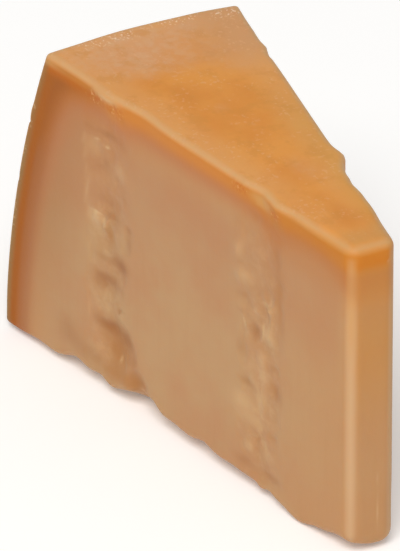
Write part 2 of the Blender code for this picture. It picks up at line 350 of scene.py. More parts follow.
draw = random.Random(CRUMB_SEED)
crumbs = []
for patch_radius, patch_height, half_length, half_height, count in CRUMB_PATCHES:
    for _ in range(count):
        crumb_radius = patch_radius + draw.uniform(-1, 1) * half_length
        crumb_height = patch_height + draw.uniform(-1, 1) * half_height
        crumb_size = draw.uniform(*CRUMB_SIZE)
        crumb = (crumb_radius, crumb_height, crumb_size, crumb_size, draw.uniform(0, 360))
        crumbs.append((*crumb, draw.choice((-1, 1)) * CRUMB_PROUD))
print(len(crumbs), "crumbs along the front's rim")

# %% Depth of the crags
# The power that shapes a scoop's slope, and how much less it is at the wall, which is steeper
GENTLE_POWER = 1.6
STEEPER_BY = 0.4

# Size and strength in mm: of the grains of curd, and of the sway that moves a scoop's outline
CURD_GRAINS = ((6.0, 0.5), (2.4, 0.18))
SWAYS = ((6.5, 0.6), (2.2, 0.35))

# The value of the noise between a grain and a crease, and how round the bottom of a crease is
CURD_LEVEL = 0.3
CREASE_SOFTNESS = 0.1


def scoop_depth(radius, height, scoop):
    """The depth of one shell-shaped scoop, steepest on the side of its wall."""
    scoop_radius, scoop_height, half_length, half_height, wall, depth = scoop
    across = (scoop_radius - radius) / half_length
    up = (height - scoop_height) / half_height
    span = across * across + up * up
    if span >= 1.0:
        return 0.0
    lean = across * math.cos(math.radians(wall)) + up * math.sin(math.radians(wall))
    return depth * (1 - span) ** (GENTLE_POWER - STEEPER_BY * lean)


def groove_depth(radius, height, groove):
    """The depth of a groove, or of a ridge if that is negative, between two points."""
    start_radius, start_height, end_radius, end_height, half_width, depth = groove
    along = Vector((end_radius - start_radius, end_height - start_height))
    offset = Vector((radius - start_radius, height - start_height))
    share = min(max(offset.dot(along) / along.length_squared, 0.0), 1.0)
    return depth * bell((offset - along * share).length, half_width)


def curd_depth(radius, height, side):
    """Rounded grains of curd with creases between them, in two sizes."""
    depth = 0.0
    for size, thickness in CURD_GRAINS:
        swell = waves(radius, side * SIDE_SEED, height, size, octaves=1)
        depth += thickness * (CURD_LEVEL - math.hypot(swell, CREASE_SOFTNESS))
    return depth


def warped(radius, height, side):
    """A spot moved a little by noise, so that no scoop keeps a drawn-looking outline."""
    for size, strength in SWAYS:
        sway = strength * waves(radius, side * SIDE_SEED, height, size, octaves=1)
        height += strength * waves(height, side * SIDE_SEED, radius, size, octaves=1)
        radius += sway
    return radius, height


def crag_relief(radius, height, side):
    """The scoops, lumps and grooves of the tearing, over the stripes' base."""
    depth = 0.0
    for edge_radius, edge_height, half_length, half_height, edge_depth in EDGE_HOLLOWS[side]:
        across = bell(radius - edge_radius, half_length)
        depth += edge_depth * across * bell(height - edge_height, half_height)
    if side < 0 and height > HEIGHT - CALM_REACH:
        for crumb in crumbs:
            depth += scoop_depth(radius, height, crumb)
    radius, height = warped(radius, height, side)
    for scoop in CRAGS[side]:
        depth += scoop_depth(radius, height, scoop)
    for groove in GROOVES[side]:
        depth += groove_depth(radius, height, groove)
    return depth


def crag_depth(radius, height, side):
    """How far a cut face lies behind the knife's plane, with side -1 in front and 1 at the back."""
    share = band_share(radius, height, side)
    lumps = waves(radius, side * SIDE_SEED, height / LUMP_STRETCH, LUMP_SIZE)
    curd = curd_depth(radius, height, side)
    depth = share * (BAND_DEPTH + LUMP_DEPTH[side] * lumps + curd)
    return depth + crag_relief(radius, height, side)


print("depth in the hollow at the foot:", round(crag_depth(163.0, 19.5, -1), 1), "mm")

# %% [markdown]
# ## The split underneath
#
# The wheel was split through its middle, and the split is rough. It rests on its high spots in the
# middle, and its edges are chipped up by a few millimetres, which the outline of the foot shows.

# %% Chipped edges of the foot
FOOT_RISE = 3.8
HEEL_FOOT_RISE = 1.8
HEEL_FOOT_START = 182.0
HEEL_FOOT_END = 198.0
FOOT_REACH = 13.0
SPLIT_ROUGHNESS = 2.2
SPLIT_GRAIN = 17.0

# Distance from the axis, half length, rise
FRONT_FOOT_CHIPS = (
    (205.0, 7.0, 0.9),
    (187.0, 6.0, 1.9),
    (174.0, 3.5, 0.9),
    (168.5, 3.0, -1.0),
    (161.5, 3.0, 0.3),
    (153.6, 7.0, 3.5),
    (146.3, 3.6, 3.0),
    (137.0, 7.0, 1.3),
    (121.0, 5.0, 1.9),
    (106.5, 6.0, 0.5),
    (92.5, 2.2, -1.1),
    (85.0, 5.0, -0.9),
    (73.5, 8.0, -3.7),
    (62.0, 4.5, -1.4),
)
BACK_FOOT_CHIPS = (
    (190.0, 9.0, 1.8),
    (165.0, 8.0, 3.0),
    (131.0, 12.0, -2.4),
    (92.0, 9.0, 2.8),
    (52.0, 14.0, -2.2),
)


def foot_rise(radius, side):
    """The height of the underside's edge along one cut face."""
    chips = FRONT_FOOT_CHIPS if side < 0 else BACK_FOOT_CHIPS
    towards_heel = smooth(radius, HEEL_FOOT_START, HEEL_FOOT_END)
    rise = FOOT_RISE + (HEEL_FOOT_RISE - FOOT_RISE) * towards_heel
    for chip_radius, half_length, chip_rise in chips:
        rise += chip_rise * bell(radius - chip_radius, half_length)
    return rise


def underside(x, y, radius, half_width):
    """The height of the rough split: chipped along its edges, and on the ground in the middle."""
    front = 1 - smooth(half_width + y, 0.0, FOOT_REACH)
    back = 1 - smooth(half_width - y, 0.0, FOOT_REACH)
    heel = 1 - smooth(heel_radius(0.0) - radius, 0.0, FOOT_REACH)
    rise = front * foot_rise(radius, -1) + back * foot_rise(radius, 1)
    rise /= max(front + back, 1.0)
    slope = front * (1 - front) + back * (1 - back) + heel * (1 - heel)
    grain = SPLIT_ROUGHNESS * slope * waves(x, y, 0.0, SPLIT_GRAIN)
    return max(rise, heel * HEEL_FOOT_RISE, 0.0) + max(grain, 0.0)


print("foot of the point:", round(foot_rise(TIP_RADIUS, -1), 1), "mm above the ground")

# %% [markdown]
# ## From a block to the wedge
#
# The wedge could be cut from a wheel with two planes, but a fine even grid is what crags need. So a
# cube is cut into rows first, closest together in the rough stripes, and each point of its surface
# is then moved to its spot on the wedge. The rim of the cube, outside the span from 0 to 1, becomes
# the rounded edges. Edges are chosen in code by their place, and subdivide cuts a whole row at once.

# %% A cube cut at the borders of the stripes
FILLET = 0.1
FILLET_CUTS = 3
BAND_MARGIN = 4.0
CLOSE = 1e-4

COARSE = 1.0
BAND_SPACING = 0.75 * COARSE
PLAIN_SPACING = 2.2 * COARSE
HEIGHT_SPACING = 0.52 * COARSE
ACROSS_SPACING = 1 / 26 * COARSE

bpy.ops.object.select_all(action="DESELECT")
bpy.ops.mesh.primitive_cube_add(size=1 + 2 * FILLET, location=(0.5, 0.5, 0.5))
wedge = bpy.context.object
wedge.name = "aged_cheese_wedge"
wedge.data.name = "aged_cheese_wedge"
bpy.ops.object.transform_apply(location=True, rotation=True, scale=True)

borders = [TIP_RADIUS]
for inner, outer in ROUGH_BANDS:
    borders += [inner - BAND_MARGIN, outer + BAND_MARGIN]
borders.append(PLATE_RADIUS + HEEL_BULGE)
shares = [(border - TIP_RADIUS) / LENGTH for border in borders]
print("stripes begin and end at", [round(share, 3) for share in shares[1:-1]], "of the length")

# %% Cut the rows


def bisect_at(axis, place):
    """Cuts the whole block with one plane across an axis."""
    point = [0.0, 0.0, 0.0]
    point[axis] = place
    normal = [0.0, 0.0, 0.0]
    normal[axis] = 1.0
    bpy.ops.mesh.select_all(action="SELECT")
    bpy.ops.mesh.bisect(plane_co=point, plane_no=normal)


def cut_rows(axis, low, high, spacing):
    """Cuts the edges that run along an axis from low to high into pieces of about the spacing."""
    cuts = max(round((high - low) / spacing) - 1, 0)
    bpy.ops.mesh.select_all(action="DESELECT")
    block = bmesh.from_edit_mesh(wedge.data)
    for edge in block.edges:
        first, last = sorted(vertex.co[axis] for vertex in edge.verts)
        edge.select = abs(first - low) < CLOSE and abs(last - high) < CLOSE
    bmesh.update_edit_mesh(wedge.data)
    if cuts:
        bpy.ops.mesh.subdivide(number_cuts=cuts)


bpy.ops.object.mode_set(mode="EDIT")
bpy.ops.mesh.select_mode(type="EDGE")
for place in shares:
    bisect_at(0, place)
for axis in (1, 2):
    bisect_at(axis, 0.0)
    bisect_at(axis, 1.0)
for index, (low, high) in enumerate(zip(shares, shares[1:])):
    spacing = BAND_SPACING if index % 2 else PLAIN_SPACING
    cut_rows(0, low, high, spacing / LENGTH)
cut_rows(1, 0.0, 1.0, ACROSS_SPACING)
cut_rows(2, 0.0, 1.0, HEIGHT_SPACING / HEIGHT)
for axis in range(3):
    cut_rows(axis, -FILLET, 0.0, FILLET / FILLET_CUTS)
    cut_rows(axis, 1.0, 1 + FILLET, FILLET / FILLET_CUTS)
bpy.ops.object.mode_set(mode="OBJECT")
print(f"the block has {len(wedge.data.polygons)} faces")

# %% [markdown]
# ## Moving every point to its place
#
# A point of the block says how far along, across and up the wedge it is. On the rim it leans out
# over the rounded edge instead. The heel follows the wheel's round side, and the cut faces and the
# underside then get their relief. The faces in between give way evenly, so that no face folds over.

# %% Place the points
PLATE_WAVE = 0.35
RIND_WAVE = 0.6
RIND_WAVE_SIZE = 45.0
RIND_WAVE_FADE = 6

# Nicks in the heel's front edge, and a bump where the depth is negative: height, half height, depth
HEEL_NICKS = (
    (84.5, 2.5, -0.4),
    (80.3, 0.8, 0.7),
    (57.0, 1.2, 0.4),
)
NICK_REACH = 8.0
NICK_FADE = 40


def nick_depth(height, from_front):
    """How deep the heel's edge is nicked at a height, at a distance from the front."""
    depth = sum(deep * bell(height - centre, half) for centre, half, deep in HEEL_NICKS)
    return depth * bell(from_front, NICK_REACH)


def split_coordinate(place, low, high, rounding):
    """A block coordinate as its spot on the inner block and its lean out over the rounded edge."""
    core = min(max(place, 0.0), 1.0)
    lean = math.tan(math.pi / 4 * (place - core) / FILLET)
    return low + rounding + (high - low - 2 * rounding) * core, lean


def place_on_wedge(place):
    """The spot on the wedge, in millimetres, of one point of the block's surface."""
    height_guess = HEIGHT * min(max(place.z, 0.0), 1.0)
    length = heel_radius(height_guess) - TIP_RADIUS
    rounding = edge_rounding(length * min(max(place.x, 0.0), 1.0), height_guess)

    inner_z, lean_z = split_coordinate(place.z, 0.0, HEIGHT, rounding)
    lean_x = split_coordinate(place.x, 0.0, length, rounding)[1]
    lean_y = split_coordinate(place.y, 0.0, length, rounding)[1]
    lean = Vector((lean_x, lean_y, lean_z)).normalized() * rounding

    height = inner_z + lean.z
    heel = heel_radius(height)
    from_tip = split_coordinate(place.x, 0.0, heel - TIP_RADIUS, rounding)[0] + lean.x
    chord = TIP_RADIUS + from_tip
    half_width = chord * math.tan(HALF_ANGLE)
    across = split_coordinate(place.y, -half_width, half_width, rounding)[0] + lean.y

    tangent = across / chord
    heel_share = from_tip / (heel - TIP_RADIUS)
    chord += heel_share * heel * (math.cos(math.atan(tangent)) - 1)
    y = chord * tangent
    radius = math.hypot(chord, y)
    half_width = chord * math.tan(HALF_ANGLE)

    foot_share = 1 - height / HEIGHT
    rise = underside(chord, y, radius, half_width) * foot_share
    swell = waves(chord, y, height, RIND_WAVE_SIZE, octaves=2)
    lifted = height + rise + PLATE_WAVE * min(swell, 0.0) * (1 - foot_share)
    front_share = (1 - y / half_width) / 2
    y += crag_depth(radius, lifted, -1) * front_share
    y -= crag_depth(radius, lifted, 1) * (1 - front_share)
    chord += RIND_WAVE * min(swell, 0.0) * heel_share**RIND_WAVE_FADE
    chord -= nick_depth(lifted, y + half_width) * heel_share**NICK_FADE
    return Vector((AXIS_X - chord, y, lifted))


for vertex in wedge.data.vertices:
    vertex.co = place_on_wedge(vertex.co) * MM
bpy.ops.object.mode_set(mode="EDIT")
bpy.ops.mesh.select_all(action="SELECT")
bpy.ops.mesh.normals_make_consistent(inside=False)
bpy.ops.object.mode_set(mode="OBJECT")
bpy.ops.object.shade_smooth()
sizes = [round(size / MM, 1) for size in wedge.dimensions]
print("the wedge measures", sizes, "mm")

# %% [markdown]
# ## What the material has to know, as attributes
#
# The paste has dried from the rind inwards, and most in the corner between plate and heel, where it
# dried from both sides. Edges are pale, partly from wear and partly as a painted highlight, and
# hollows get painted warm shade while lumps get painted light. A shader can't tell how deep a spot
# lies under the rind or how far from an edge, so these distances are worked out here for each point,
# in millimetres, and kept in the mesh for the material to read.

# %% Depth under the rind
TIP_X = AXIS_X - TIP_RADIUS
END_RIND = 0.74
END_RIND_REACH = (1.0, 18.0)
HEEL_RIND_TOP = 0.55
HEEL_RIND_FOOT = 0.85
CORNER_POWER = 1.7
LEAST_DEPTH = 0.05


def rind_depth(under_plate, behind_heel, behind_tip, height):
    """How deep a spot lies in the paste, as the drying sees it: from the plate and from the heel."""
    end_share = 1 - smooth(behind_tip, *END_RIND_REACH)
    plate = max(under_plate * (1 - (1 - END_RIND) * end_share), LEAST_DEPTH)
    foot_share = 1 - height / HEIGHT
    heel = behind_heel * (HEEL_RIND_TOP + (HEEL_RIND_FOOT - HEEL_RIND_TOP) * foot_share)
    heel = max(heel, LEAST_DEPTH)
    return (plate**-CORNER_POWER + heel**-CORNER_POWER) ** (-1 / CORNER_POWER)


# Where the rim reaches lower than elsewhere: distance from the axis, half width, share
RIM_SAGS = ((85.0, 8.0, 0.35), (163.0, 7.0, 0.25))


def rim_sag(radius):
    """The share of its depth under the plate at which a spot counts, less where the rim sags."""
    return 1 - sum(share * bell(radius - centre, half) for centre, half, share in RIM_SAGS)


print("5 mm under the plate:", round(rind_depth(5.0, 90.0, 90.0, 103.0), 1), "mm in the middle,")
print(round(rind_depth(5.0, 10.0, 90.0, 103.0), 1), "mm in the corner at the heel")

# %% [markdown]
# ## Pale and warm marks, with painted light and shade
#
# A fresh break in aged cheese is pale where it crushed the paste, and deeper in colour where it laid
# bare moister paste. Many marks also paint the relief's light: pale painted highlights on lit flakes
# and lumps, and warm painted shade on walls that face away from the light. Each mark is a soft oval
# with a strength, below 0 where it is warmer and darker.

# %% Marks on the front
# Partly the paste's own colour, and partly painted highlights and painted shade of the crags
# Distance from the axis, height, half length, half height, strength
FRONT_MARKS = (
    (175.5, 86.5, 4.5, 5.0, 0.7),
    (180.2, 83.5, 0.9, 7.0, 0.5),
    (174.0, 89.2, 1.0, 0.6, 0.9),
    (169.5, 88.2, 1.2, 0.6, 1.3),
    (169.0, 92.3, 6.5, 1.8, -1.2),
    (178.5, 91.8, 3.0, 1.8, -0.7),
    (160.5, 92.5, 3.0, 3.0, -0.4),
    (170.0, 82.8, 2.5, 3.2, -1.0),
    (173.5, 79.5, 3.5, 1.6, -0.6),
    (162.5, 82.3, 4.5, 4.0, 0.7),
    (174.0, 75.5, 4.5, 2.5, 0.4),
    (160.5, 73.8, 2.2, 2.0, -0.7),
    (170.0, 68.6, 5.5, 3.0, -0.6),
    (168.0, 64.6, 6.0, 1.4, -0.9),
    (157.8, 64.2, 2.0, 1.6, -1.0),
    (178.9, 68.5, 1.4, 9.0, 0.8),
    (178.0, 50.0, 1.3, 6.0, 0.4),
    (178.0, 26.5, 1.3, 4.5, 0.7),
    (168.5, 106.4, 7.0, 1.5, 1.4),
    (175.0, 60.8, 3.2, 3.2, 1.1),
    (174.0, 63.6, 2.4, 0.8, 1.5),
    (170.6, 61.0, 1.1, 2.4, 1.1),
    (157.6, 59.0, 2.2, 3.2, -0.9),
    (165.5, 62.0, 2.2, 3.4, -0.6),
    (162.5, 60.0, 2.0, 2.5, 0.25),
    (162.4, 49.4, 5.2, 3.6, -1.6),
    (171.5, 48.6, 4.0, 2.0, -0.5),
    (173.0, 48.0, 4.0, 1.4, -0.4),
    (169.5, 41.4, 7.2, 2.8, -1.3),
    (173.6, 37.4, 4.0, 3.2, -0.8),
    (161.5, 39.5, 1.8, 3.0, -0.5),
    (169.0, 31.5, 7.0, 2.4, 0.45),
    (164.0, 33.2, 2.6, 2.8, -0.8),
    (163.6, 32.6, 0.7, 0.7, -1.1),
    (169.0, 25.0, 6.5, 3.2, -1.7),
    (160.0, 23.4, 4.0, 3.5, -1.1),
    (164.3, 14.5, 0.8, 1.6, 1.6),
    (173.5, 18.5, 2.0, 2.5, 0.4),
    (154.5, 18.5, 2.0, 4.5, -0.7),
    (165.0, 9.0, 9.0, 3.2, -0.4),
    (153.0, 8.6, 2.4, 0.8, 1.0),
    (178.0, 11.0, 9.0, 4.0, -0.8),
    (189.0, 15.0, 7.0, 6.0, -0.9),
    (102.5, 93.0, 3.0, 3.5, -0.5),
    (97.8, 89.0, 3.0, 3.0, 0.3),
    (84.4, 87.5, 3.0, 6.0, -0.7),
    (85.6, 78.6, 2.4, 2.8, -0.3),
    (101.8, 84.2, 3.0, 3.4, 0.65),
    (95.0, 79.6, 5.0, 1.3, -0.6),
    (99.2, 75.8, 4.8, 3.4, 0.65),
    (104.3, 75.0, 0.8, 3.0, 0.4),
    (92.0, 72.0, 2.6, 2.2, -0.5),
    (87.0, 75.5, 3.5, 1.8, -0.5),
    (82.0, 70.5, 2.2, 7.0, -0.3),
    (101.5, 68.4, 3.5, 1.8, -0.6),
    (89.8, 69.8, 2.0, 1.2, 1.0),
    (86.8, 71.5, 1.0, 3.2, 0.7),
    (94.0, 64.8, 2.6, 1.3, 0.6),
    (87.6, 64.2, 1.3, 2.8, 0.4),
    (100.0, 62.3, 4.0, 1.2, -0.7),
    (99.4, 59.4, 0.8, 2.0, 1.3),
    (95.2, 57.8, 2.8, 3.6, -1.2),
    (87.9, 59.3, 3.4, 3.2, 0.9),
    (91.2, 59.4, 0.9, 2.8, 1.1),
    (88.5, 55.0, 3.5, 1.0, -0.8),
    (80.5, 63.0, 1.6, 6.0, -0.4),
    (101.6, 49.6, 2.6, 4.2, -0.75),
    (92.5, 47.0, 4.0, 7.0, 0.4),
    (93.0, 34.0, 8.0, 13.0, 0.25),
    (88.6, 42.5, 2.8, 7.0, 0.45),
    (97.0, 45.0, 2.4, 3.0, 0.4),
    (86.5, 48.2, 2.4, 1.8, -1.0),
    (84.0, 40.0, 3.6, 4.6, -1.0),
    (98.8, 37.8, 4.4, 2.4, -1.1),
    (100.8, 30.5, 6.0, 4.4, 0.8),
    (92.0, 34.0, 2.2, 5.0, 0.4),
    (85.2, 32.0, 2.0, 3.2, -0.5),
    (94.0, 25.4, 8.5, 2.4, 0.6),
    (87.0, 24.0, 3.2, 1.6, -0.9),
    (94.8, 19.6, 3.0, 1.0, -0.9),
    (94.2, 16.0, 1.0, 3.2, -0.6),
    (97.5, 16.0, 3.0, 2.4, 0.6),
    (88.4, 16.2, 3.6, 3.0, 0.6),
    (100.0, 10.0, 5.5, 2.4, -0.9),
    (87.0, 9.0, 5.5, 2.4, -0.9),
    (92.0, 7.0, 5.0, 1.6, 0.4),
)
print(len(FRONT_MARKS), "marks on the front")

# %% Marks drawn at random for the back
BACK_MARK_SEED = 7
BACK_MARKS_PER_BAND = 34
BACK_MARK_SIZE = (1.4, 4.5)
BACK_MARK_STRETCH = (0.4, 1.3)
BACK_MARK_STRENGTH = (0.4, 1.1)

draw = random.Random(BACK_MARK_SEED)
back_marks = []
for inner, outer in ROUGH_BANDS:
    for index in range(BACK_MARKS_PER_BAND):
        mark_radius = draw.uniform(inner, outer)
        mark_height = (index + draw.random()) / BACK_MARKS_PER_BAND * HEIGHT
        half_length = draw.uniform(*BACK_MARK_SIZE)
        half_height = half_length * draw.uniform(*BACK_MARK_STRETCH)
        strength = draw.uniform(*BACK_MARK_STRENGTH) * draw.choice((-1, 1))
        back_marks.append((mark_radius, mark_height, half_length, half_height, strength))
CUT_MARKS = {-1: FRONT_MARKS, 1: tuple(back_marks)}
print(len(back_marks), "marks at the back")

# %% Amber and golden marks on the front
# Distance from the axis, height, half length, half height, strength, below 0 where it is golden
AMBER_MARKS = (
    (168.6, 57.0, 2.4, 5.0, 0.55),
    (166.0, 17.2, 4.2, 4.6, 0.5),
    (168.5, 23.8, 6.5, 3.0, 0.4),
    (156.0, 17.5, 3.2, 4.2, 0.4),
    (157.0, 10.5, 8.0, 3.5, 0.5),
    (167.0, 9.0, 7.0, 3.2, 0.4),
    (174.5, 103.0, 3.0, 1.6, 0.15),
    (190.0, 106.4, 7.0, 2.2, 0.4),
    (161.0, 101.5, 2.5, 2.0, 0.4),
    (83.5, 100.5, 4.0, 3.5, 0.3),
    (94.0, 98.5, 5.0, 2.2, 0.3),
    (82.5, 76.0, 3.0, 14.0, 0.45),
    (162.5, 49.5, 4.5, 3.6, 0.35),
    (85.2, 41.0, 3.0, 4.0, 0.35),
    (91.5, 104.6, 5.5, 2.4, -1.1),
    (166.0, 100.5, 4.0, 2.4, -0.3),
)
print(len(AMBER_MARKS), "amber and golden marks")

# %% Marks on the end face
# Across the wedge, height, half length, half height, strength
END_MARKS = (
    # A painted highlight: the thin pale upright line low on the end face
    (1.9, 13.8, 0.5, 6.5, 0.9),
    (1.8, 26.0, 0.5, 2.6, 0.6),
    (5.2, 101.0, 0.6, 0.6, 1.2),
    (-1.5, 39.0, 3.5, 4.0, -0.3),
    (-1.0, 9.5, 4.0, 2.5, -0.35),
)

# How far behind the end face its marks are full, and where they are gone
END_SKIN = (1.0, 4.0)

# Where the end face is amber under the plate, and where its edges are pale, partly worn and partly
# a painted highlight: centre, half height
END_RIM = (102.2, 3.2)
END_EDGES = (88.0, 19.0)

# How far under the plate the pale edges start, and where they are full
END_EDGES_TOP = (1.5, 5.0)
print(len(END_MARKS), "marks on the end face")

# %% [markdown]
# The plate is brushed and oiled while the wheel ages. Near the heel a pinkish bloom has stayed on
# it, and elsewhere it is rubbed down to a deeper orange.

# %% Marks on the plate
# Along and across the wedge, half length, half width, strength
PLATE_MARKS = (
    (-54.0, -8.0, 13.0, 26.0, 0.9),
    (-38.0, 2.0, 9.0, 26.0, 0.35),
    (-54.0, -8.0, 6.0, 8.0, 0.5),
    (-44.0, -12.0, 9.0, 6.0, 0.5),
    (-58.0, 14.0, 5.0, 8.0, 0.4),
    (-28.0, 16.0, 7.0, 5.0, 0.3),
    (-7.0, -3.0, 5.0, 5.0, 0.4),
    (37.0, 3.0, 9.0, 5.0, 0.4),
    (-18.0, -8.0, 10.0, 5.5, -0.8),
    (12.0, -3.0, 14.0, 6.0, -0.4),
    (-8.0, 11.0, 12.0, 5.0, -0.4),
    (68.0, 1.0, 10.0, 5.0, -0.8),
)


def marks_at(first, second, marks):
    """The strengths of all marks at a spot, given by two distances, added up."""
    total = 0.0
    for first_centre, second_centre, first_half, second_half, strength in marks:
        first_share = bell(first - first_centre, first_half)
        total += strength * first_share * bell(second - second_centre, second_half)
    return total


print("mark in the middle of the bloom:", round(marks_at(-46.0, -12.0, PLATE_MARKS), 2))

# %% Values for every point
CRUMB_MARKS = [row[:4] + (1.0,) for row in CRUMB_PATCHES]

# How deep under a cut face its own looks are full, and where they are gone, in mm
CUT_SKIN = (1.0, 3.0)

# Where glints lie on the plate along the heel: how far from it they are full and gone, in mm, and
# where they start and are full across the wedge, from -1 at the front to 1 at the back
ARC_REACH = (4.0, 10.0)
ARC_START = (-0.85, -0.5)

# How far the specks reach from the heel's front edge, in mm
HEEL_LINE = 2.6


def values_at(point):
    """All that the material has to know at one point, by name."""
    x, y, z = point / MM
    radius = math.hypot(AXIS_X - x, y)
    side = -1 if y < 0 else 1
    half_width = (AXIS_X - x) * math.tan(HALF_ANGLE)
    torn = crag_depth(radius, z, side)
    share = band_share(radius, z, side)
    to_cut = half_width - abs(y) - torn
    on_cut = 1 - smooth(to_cut, *CUT_SKIN)
    under_plate = HEIGHT - z
    behind_heel = heel_radius(z) - radius
    behind_tip = TIP_X - x
    # An edge lies where two walls meet, so the second nearest wall tells how far it is
    walls = sorted((under_plate, behind_heel, behind_tip, to_cut))
    on_front = on_cut if side < 0 else 0.0
    on_end = 1 - smooth(behind_tip, *END_SKIN)
    mark = marks_at(*warped(radius, z, side), CUT_MARKS[side]) * on_cut
    return {
        "under_plate": under_plate,
        "behind_heel": behind_heel,
        "behind_tip": behind_tip,
        "in_rind": rind_depth(under_plate * rim_sag(radius), behind_heel, behind_tip, z),
        "from_edge": max(walls[1], 0.0),
        "torn": share * on_cut,
        "hollow": (torn - BAND_DEPTH * share) * on_cut,
        "mark": mark + marks_at(y, z, END_MARKS) * on_end,
        "amber": marks_at(*warped(radius, z, side), AMBER_MARKS) * on_front,
        "bloom": marks_at(x, y, PLATE_MARKS),
        "towards_back": y / half_width,
        "crumbly": marks_at(radius, z, CRUMB_MARKS) * on_front,
        "heel_line": bell(behind_heel, HEEL_LINE) * bell(y + half_width, HEEL_LINE),
        "near_arc": (1 - smooth(behind_heel, *ARC_REACH)) * smooth(y / half_width, *ARC_START),
        "end_rim": bell(z - END_RIM[0], END_RIM[1]),
        "end_edges": bell(z - END_EDGES[0], END_EDGES[1]) * smooth(under_plate, *END_EDGES_TOP),
    }


values = {name: [] for name in values_at(Vector((0.0, 0.0, 0.0)))}
for vertex in wedge.data.vertices:
    for name, value in values_at(vertex.co).items():
        values[name].append(value)
for name, numbers in values.items():
    attribute = wedge.data.attributes.new(name, "FLOAT", "POINT")
    attribute.data.foreach_set("value", numbers)
    print(name, "from", round(min(numbers), 1), "to", round(max(numbers), 1))

# %% [markdown]
# ## Building a material from nodes
#
# Colours are given as sRGB hex values, as a colour picker shows them, and turned to the linear
# values that a shader works with. One small function adds any node with its settings and links.

# %% Colour and node helpers


def linear(hex_colour):
    """An sRGB hex colour as a linear colour with full alpha."""
    channels = []
    for start in (0, 2, 4):
        value = int(hex_colour[start : start + 2], 16) / 255
        channels.append(value / 12.92 if value <= 0.04045 else ((value + 0.055) / 1.055) ** 2.4)
    return (*channels, 1.0)


def add_node(tree, kind, inputs, **settings):
    """Adds a node, sets its properties, and gives each input a value or the output of a node."""
    node = tree.nodes.new(kind)
    for name, value in settings.items():
        setattr(node, name, value)
    for socket, source in inputs.items():
        if isinstance(source, bpy.types.NodeSocket):
            tree.links.new(source, node.inputs[socket])
        else:
            node.inputs[socket].default_value = source
    return node


WHITE = "ffffff"
print("white is", linear(WHITE))

# %% [markdown]
# ## Aged cheese: paste and rind
#
# Hard cheese is a dense, fatty paste. Light goes a few millimetres into it, so its shadows are soft
# and warm, and its surface is a satin that is almost waxy. Towards the rind it has dried out: the
# colour deepens through a pinkish tan to amber.
#
# The material first collects what the colours can depend on: the values kept in the mesh, and
# cloudy patterns with patches of a real size in millimetres.

# %% What the colours depend on
cheese = bpy.data.materials.new("aged_cheese")
cheese.use_nodes = True
tree = cheese.node_tree
shader = tree.nodes["Principled BSDF"]
place = add_node(tree, "ShaderNodeTexCoord", {}).outputs["Object"]
sources = {}
for name in values:
    sources[name] = add_node(tree, "ShaderNodeAttribute", {}, attribute_name=name).outputs["Fac"]

# Size of the patches in mm, detail, roughness, stretch along each axis
PATTERNS = {
    "clouds": (26.0, 3, 0.55, (1, 1, 1)),
    "streaks": (2.2, 3, 0.5, (1, 1, 14)),
    "curd": (4.5, 3, 0.6, (1, 1, 1)),
    "mottling": (9.0, 4, 0.65, (1, 1, 1)),
    "skin_clouds": (30.0, 5, 0.6, (1, 1, 1)),
    "flecks": (1.5, 2, 0.5, (1, 1, 1)),
    "glints": (0.9, 1, 0.5, (1, 1, 1)),
    "bloom_grain": (3.2, 3, 0.6, (1, 1, 1)),
    "flecked_areas": (11.0, 2, 0.5, (1, 1, 1)),
    "crumb_grain": (1.3, 1, 0.5, (1, 1, 1)),
    "rind_grain": (3.0, 4, 0.6, (1, 2.5, 1)),
    "grain": (1.4, 4, 0.6, (1, 1, 1)),
}
for name, (size, detail, roughness, stretch) in PATTERNS.items():
    scale = tuple(1 / (size * MM * part) for part in stretch)
    scaled = add_node(tree, "ShaderNodeMapping", {"Vector": place, "Scale": scale}).outputs[0]
    inputs = {"Vector": scaled, "Scale": 1.0, "Detail": detail, "Roughness": roughness}
    sources[name] = add_node(tree, "ShaderNodeTexNoise", inputs).outputs[0]
print("the shader reads", ", ".join(sources))

# %% [markdown]
# Colours are then laid over each other like glazes. A glaze has a colour, a strength, and any number
# of fades: the name of a source, the value at which the glaze is full, and the one where it is gone.
# Its colour is a hex value, or the output of nodes for a skin that has been mixed by itself.

# %% Glazes
# A Mix node has alike sockets for numbers, vectors and colours, told apart by their place
MIX_SHARE = 0
MIX_UNDER = 6
MIX_OVER = 7
MIX_RESULT = 2


def lay_glazes(base, glazes):
    """Lays each glaze over the base colour and gives the colour that results."""
    for glaze, strength, *fades in glazes:
        share = strength
        for name, full, gone in fades:
            inputs = {
                "Value": sources[name],
                "From Min": full,
                "From Max": gone,
                "To Min": 1.0,
                "To Max": 0.0,
            }
            fade = add_node(tree, "ShaderNodeMapRange", inputs, interpolation_type="SMOOTHSTEP")
            inputs = {0: share, 1: fade.outputs["Result"]}
            share = add_node(tree, "ShaderNodeMath", inputs, operation="MULTIPLY").outputs["Value"]
        over = linear(glaze) if isinstance(glaze, str) else glaze
        inputs = {MIX_SHARE: share, MIX_UNDER: base, MIX_OVER: over}
        base = add_node(tree, "ShaderNodeMix", inputs, data_type="RGBA").outputs[MIX_RESULT]
    return base


PASTE = "b99167"
paste = lay_glazes(
    linear(PASTE),
    (
        ("b88960", 1.0, ("clouds", 0.68, 0.36)),
        ("bc8b5c", 0.6, ("behind_tip", 4.0, 50.0)),
        ("c08443", 0.6, ("behind_tip", 0.5, 3.0), ("under_plate", 35.0, 75.0)),
        ("ae7c4f", 0.08, ("streaks", 0.75, 0.45)),
    ),
)
print("paste mixed from", PASTE, "in", len(tree.nodes), "nodes")
